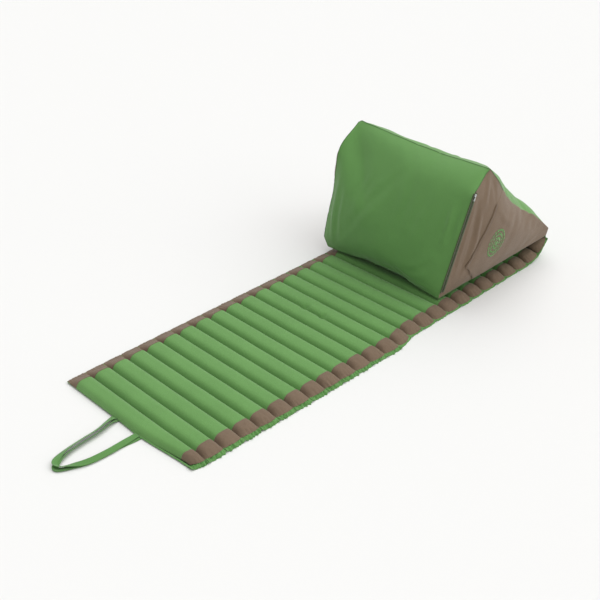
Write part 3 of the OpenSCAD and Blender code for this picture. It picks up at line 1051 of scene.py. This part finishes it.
opening = np.vstack([even(POCKET_OPENING[:2], 6 * MM), POCKET_OPENING[1:2]])
foot_of_pocket = np.vstack([even(POCKET_OPENING[1:], 6 * MM), POCKET_OPENING[2:]])
HEM_PROFILE = ((-0.6, 0.6), (-0.6, 3.0), (0.4, 3.5), (5, 3.3), (10, 3.3), (11, 2.3))
hem_sheet = lofted([beside(opening, *row) for row in HEM_PROFILE])
hem = fitting("pocket_hem", [hem_sheet], brown_side, None, "side_fabric")
stitch_lines = ((opening, 2.0, 3.6), (opening, 9.0, 3.6), (foot_of_pocket, 2.0, 2.4))
pocket_stitches = [stitches(beside(*row), r=0.5 * MM) for row in stitch_lines]
fitting("pocket_stitches", pocket_stitches, thread_brown, None, "thread")


# Each ring's inner and outer radius in mm, and how many petals it has.
ROSETTE_RINGS = ((0, 10, 6), (14, 27, 9), (32, 44, 14), (49, 59, 20))


def rosette():
    """A generic flower of satin stitches: rings of petals round an oval."""
    centre = zip_top[1:] + np.array([156, -241]) * MM
    parts = []
    for number, (inner, outer, petals) in enumerate(ROSETTE_RINGS):
        for n in range(petals):
            middle = 2 * math.pi * (n + 0.5 * (number % 2)) / petals
            for across in (-1, -0.5, 0, 0.5, 1):
                length = (outer - inner) * (1 - 0.35 * abs(across))
                turn = middle + across * 0.62 * math.pi / petals
                start = inner + 0.25 * (outer - inner) * abs(across)
                radii = np.linspace(start, start + length, 5) * MM
                oval = np.array([0.70 * math.sin(turn), math.cos(turn)])
                spots = on_side(centre + radii[:, None] * oval, 3.2 * MM)
                spots[[0, -1], 0] -= 1.0 * MM
                parts.append(tube(spots, 0.75 * MM, 5))
    return parts


fitting("pocket_rosette", rosette(), embroidery, "emblem", "thread")

# ---- Zip ----


def on_zip(out, across, up):
    """Points given from the zip's top end: out of the side, across the zip and up along it."""
    out, across, up = np.broadcast_arrays(*(np.asarray(v, float) for v in (out, across, up)))
    return zip_top + out[..., None] * zip_out + across[..., None] * zip_across + up[..., None] * zip_up


def zip_tape(side):
    """One tape of the zip, with a fold that stands up beside the coil; it is as wide as the dark band
    along the zip, and that band's shade is painted on it.
    """
    up = np.linspace(-ZIP_LEN - 9 * MM, 6 * MM, 60)
    profile = [(0.2, 1.0), (1.0, 1.0), (1.05, 3.5), (1.9, 7.5), (1.9, 10.4), (0.2, 11.2)]
    rows = [on_zip(o * MM, side * a * MM, up) for o, a in profile]
    verts, faces = lofted(rows, capped)
    return verts, faces if side > 0 else flipped(faces)


def zip_coil(side):
    """One half of the coil, a thread wound round the tape's edge."""
    pitch, per_turn = 1.5 * MM, 8
    count = int(ZIP_LEN / pitch) * per_turn
    n = np.arange(count)
    turn = 2 * math.pi * n / per_turn
    up = -n * pitch / per_turn + (0.5 * pitch if side > 0 else 0)
    across = side * (0.75 + 1.0 * np.cos(turn)) * MM
    return tube(on_zip((1.35 + 0.75 * np.sin(turn)) * MM, across, up), 0.32 * MM, 4)


fitting("zip_tape", [zip_tape(1), zip_tape(-1)], zip_cloth_shaded, "zip_tapes", "zip_fabric")
fitting("zip_teeth", [zip_coil(1), zip_coil(-1)], zip_plastic, "zip_coil", "zip_coil")
zip_rows = [on_zip(1.35 * MM, a * MM, np.linspace(-ZIP_LEN, 0, 50)) for a in (-6.4, 6.4)]
zip_stitches = [stitches(row, r=0.35 * MM) for row in zip_rows]
fitting("zip_stitches", zip_stitches, zip_cloth_shaded, None, "thread")

# ---- Strip to the mat, bladder, and what shows of the CAD ----


def joining_strip():
    """The strip from the mat's last seam up to the backrest's rear edge."""
    y, z = turned_seam(2)
    edge = cover[[SEAMS["heel"] + s for s in range(0, FAR_RING + RING, RING)]]
    seam = np.column_stack([edge[:, 0], np.full(len(edge), y), np.full(len(edge), z)])
    rows = []
    for t in (0, 0.33, 0.67, 1):
        bow = np.array([0, 1.5 * MM * math.sin(math.pi * t), 0])
        rows.append(seam * (1 - t) + edge * t + bow)
    return lofted(rows)


strip = piece("rear_strip", *joining_strip(), green_ground)
thickened(strip, 1.2 * MM, 0)
dressed(strip, "rear_joining_strip", "ground_fabric")

VALVE = np.array([242, 503, 160]) * MM


def bladder():
    """The bladder: the cover's shape a little smaller, drawn in where its valve sits."""
    verts = cover - 6.5 * MM * cover_normals
    for _ in range(4):
        verts = averaged(verts, cover_faces)
    far = np.linalg.norm(verts[:, 1:] - VALVE[1:], axis=1)
    dimple = VALVE[0] + np.maximum(verts[:, 0] - VALVE[0], 0) * smooth((far - 26 * MM) / (50 * MM))
    verts[:, 0] = np.where(verts[:, 0] > VALVE[0], dimple, verts[:, 0])
    return verts


bladder_verts = bladder()
film_parts = [(bladder_verts, cover_faces)]
film = fitting("bladder_film", film_parts, bladder_material, "bladder", "bladder_film")


def tie_band(x):
    """A band across the bladder that ties its front, back and bottom."""
    starts = range(0, FAR_RING + 1, RING)
    start = min(starts, key=lambda i: abs(cover_rest[i : i + RING, 0].mean() - x))
    loop = bladder_verts[start : start + RING]
    middle = loop.mean(axis=0)
    loop = middle + (loop - middle) * 0.975
    sheets = [loop + np.array([d * MM, 0, 0]) for d in (-0.4, 0.4)]
    return np.vstack(sheets), capped(2, RING)


tie_bands = [tie_band(x * MM) for x in (-140, 0, 140)]
fitting("bladder_bands", tie_bands, bladder_material, "bladder_baffles", "bladder_film", shade=False)


def bar_tack(at):
    """Four threads side by side over the last folding seam."""
    x = np.linspace(at - 5 * MM, at + 5 * MM, 6)
    parts = []
    for shift in (-1.2, -0.4, 0.4, 1.2):
        y = FOOT + ROLLING * PITCH + shift * MM
        parts.append(tube(np.column_stack([x, y + 0 * x, SEAM_Z + 2.2 * MM + 0 * x]), 0.5 * MM, 5))
    return joined(parts)


bar_tacks = [bar_tack(at) for at in TACKS]
fitting("bar_tacks", bar_tacks, thread_green, "seam_tacks", "thread", "head_section")

CAD_LOOKS = {
    "zip_slider": zip_metal, "zip_pull": zip_metal, "zip_stops": zip_plastic,
    "valve_body": valve_plastic, "valve_cap": valve_plastic,
}
for name, material in CAD_LOOKS.items():
    mesh = frame["nodes"][name].data
    mesh.materials.clear()
    mesh.materials.append(material)

# ---- Carry handles ----

# The handles' middle line, in mm from the middle of the mat's foot.
HANDLE_ROUTE = [
    (-48, 0), (-46, -14), (-42, -34), (-36, -56), (-31, -84), (-29, -112), (-26, -144), (-22, -176),
    (-13, -210), (-2, -233), (8, -245), (19, -248), (30, -242), (42, -225), (52, -207), (62, -188),
    (69, -162), (72, -132), (73, -100), (72, -66), (70, -32), (67, 0),
]
WEBBING_W = 20 * MM
WEBBING_T = 1.5 * MM


def smooth_line(points, count):
    """A Catmull-Rom curve through a few points."""
    p = np.asarray(points, float)
    p = np.vstack([2 * p[0] - p[1], p, 2 * p[-1] - p[-2]])
    out = []
    for s in np.linspace(0, len(p) - 3 - 1e-9, count):
        i, t = int(s), s % 1
        a, b, c, d = p[i : i + 4]
        bend, twist = 2 * a - 5 * b + 4 * c - d, 3 * b - a - 3 * c + d
        out.append(0.5 * (2 * b + (c - a) * t + bend * t * t + twist * t**3))
    return np.array(out)


# A cross-section of webbing, in halves of its width and thickness.
WEBBING_PROFILE = (
    (-1, -0.8), (-1, 0.8), (-0.8, 1), (-0.3, 0.9), (0.3, 0.9), (0.8, 1),
    (1, 0.8), (1, -0.8), (0.8, -1), (0.3, -0.9), (-0.3, -0.9), (-0.8, -1),
)


def strap(shifts, heights, tilts):
    """A webbing loop: its middle line, with its sideways shift, height and tilt along it."""
    line = smooth_line(HANDLE_ROUTE, 120) * MM
    share = np.linspace(0, 1, len(line))
    at, shift_x, shift_y = zip(*shifts)
    rows = (zip(*heights), zip(*tilts), (at, shift_x), (at, shift_y))
    soft = np.ones(9) / 9
    z, tilt, shift_x, shift_y = (
        np.convolve(np.pad(np.interp(share, *row), 4, mode="edge"), soft, "valid") for row in rows
    )
    z, tilt = z * MM, np.radians(tilt)
    line = line + np.column_stack([shift_x, shift_y]) * MM
    left = left_of(line)
    rows = []
    for across, thick in WEBBING_PROFILE:
        flat = across * WEBBING_W / 2
        proud = thick * WEBBING_T / 2
        side = flat * np.cos(tilt) - proud * np.sin(tilt)
        high = flat * np.sin(tilt) + proud * np.cos(tilt)
        x, y = (line + side[:, None] * left).T
        rows.append(np.column_stack([x, FOOT + y, z + high]))
    return lofted(rows, capped)


def handle(name, shifts, heights, tilts, cad):
    """A carry handle. Each row is a share of its length, then x and y, height or tilt in degrees."""
    made = fitting(name, [strap(shifts, heights, tilts)], webbing, cad, "webbing", "carry_handles")
    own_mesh(made)


handle(
    "handle_upper", [(0, 0, 0), (1, 0, 0)],
    [(0, 5.8), (0.08, 8.5), (0.25, 10), (0.45, 10), (0.6, 9.5), (0.75, 8.5), (0.92, 8), (1, 5.8)],
    [(0, 0), (0.06, 26), (0.12, 36), (0.34, 37), (0.40, 10), (0.45, -22), (0.50, -38), (0.60, -38),
     (0.66, -12), (0.72, 14), (0.80, 22), (0.93, 15), (1, 0)],
    "carry_handle_upper",
)
handle(
    "handle_lower",
    [(0, 12, 0), (0.35, 11, 0), (0.5, 7, -5), (0.6, 2, -6), (0.72, -4, 0), (0.9, -3, 0), (1, 12, 0)],
    [(0, 2.4), (0.1, 7.2), (0.38, 7.2), (0.5, 3.0), (0.6, 3.0), (0.75, 1.4), (1, 2.2)],
    [(0, 0), (0.08, 38), (0.36, 38), (0.5, -12), (0.6, -12), (0.75, 0), (1, 0)],
    "carry_handle_lower",
)

# ---- Floor, light and camera ----


def floor():
    """A wide pale floor that turns up far away, so no view looks past it."""
    rings, count = [(0.01, 0), (30, 0), (60, 0), (72, 1), (78, 4), (80, 9)], 64
    verts = [(r * math.cos(a), r * math.sin(a), z) for r, z in rings for a in circle(count)]
    faces = flipped(grid_faces(len(rings), count, closed=True)) + [tuple(range(count))]
    white = node_tree("floor_white", (0.790, 0.788, 0.780), 0.9)[0]
    piece("floor", verts, faces, white)


def sun(name, way, strength, softness):
    """A far soft light, as strong as so much of a white sky and so many degrees wide."""
    data = bpy.data.lights.new(name, "SUN")
    data.energy = strength * math.pi
    data.angle = math.radians(softness)
    lamp = in_scene(name, data)
    lamp.rotation_euler = Vector(way).to_track_quat("Z", "Y").to_euler()


def camera():
    azimuth, elevation, roll = (math.radians(a) for a in (45.48, 32.03, -0.23))
    level = math.cos(elevation)
    back = Vector((math.sin(azimuth) * level, -math.cos(azimuth) * level, math.sin(elevation)))
    data = bpy.data.cameras.new("camera")
    data.sensor_width = 36
    data.lens = 60.6
    data.clip_end = 300
    made = in_scene("camera", data)
    made.rotation_mode = "QUATERNION"
    made.location = (2.0551, -2.1769, 1.9197)
    turn = (-back).to_track_quat("-Z", "Y")
    made.rotation_quaternion = turn @ Quaternion((0, 0, 1), roll)
    bpy.context.scene.camera = made


def world():
    made = bpy.data.worlds.new("studio")
    made.use_nodes = True
    feed(made.node_tree.nodes["Background"], {"Color": (1, 1, 0.99, 1), "Strength": 0.41})
    bpy.context.scene.world = made
    bpy.context.scene.view_settings.view_transform = "Standard"


floor()
world()
sun("key", (0.08, 0.34, 1.0), 0.775, 90)
sun("side", (1.0, 0.30, 0.40), 0.22, 60)
camera()
